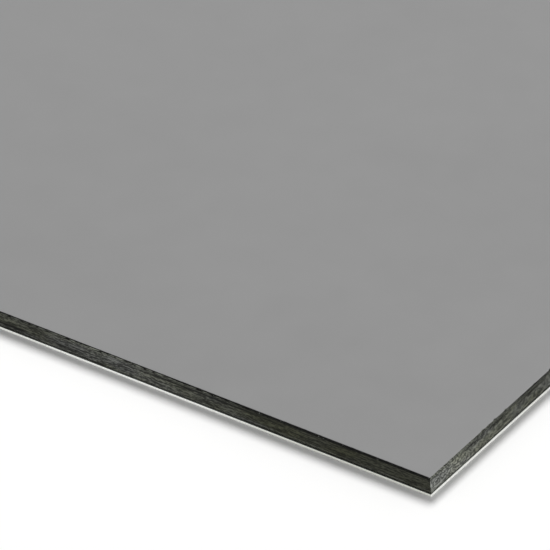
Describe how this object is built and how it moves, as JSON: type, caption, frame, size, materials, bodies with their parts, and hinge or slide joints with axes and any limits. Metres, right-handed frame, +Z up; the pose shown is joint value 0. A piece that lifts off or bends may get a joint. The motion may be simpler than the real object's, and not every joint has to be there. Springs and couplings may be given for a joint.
{
  "type": "aluminium composite panel",
  "caption": "Flat rectangular sandwich panel with a grey coated aluminium face skin, a black polyethylene core and a bare aluminium back skin, cut square on all edges.",
  "frame": {"origin": "under the centre of the panel, on the surface that its back skin lies on", "axes": "+X along the length, +Y along the width, +Z up out of the coated face"},
  "size_m": [0.297, 0.21, 0.004],
  "materials": {
    "grey_coated_aluminium": "satin",
    "black_polyethylene": "matte",
    "bare_aluminium": "satin"
  },
  "bodies": {
    "root": {"face_skin": "grey_coated_aluminium", "core": "black_polyethylene", "back_skin": "bare_aluminium"}
  },
  "joints": []
}
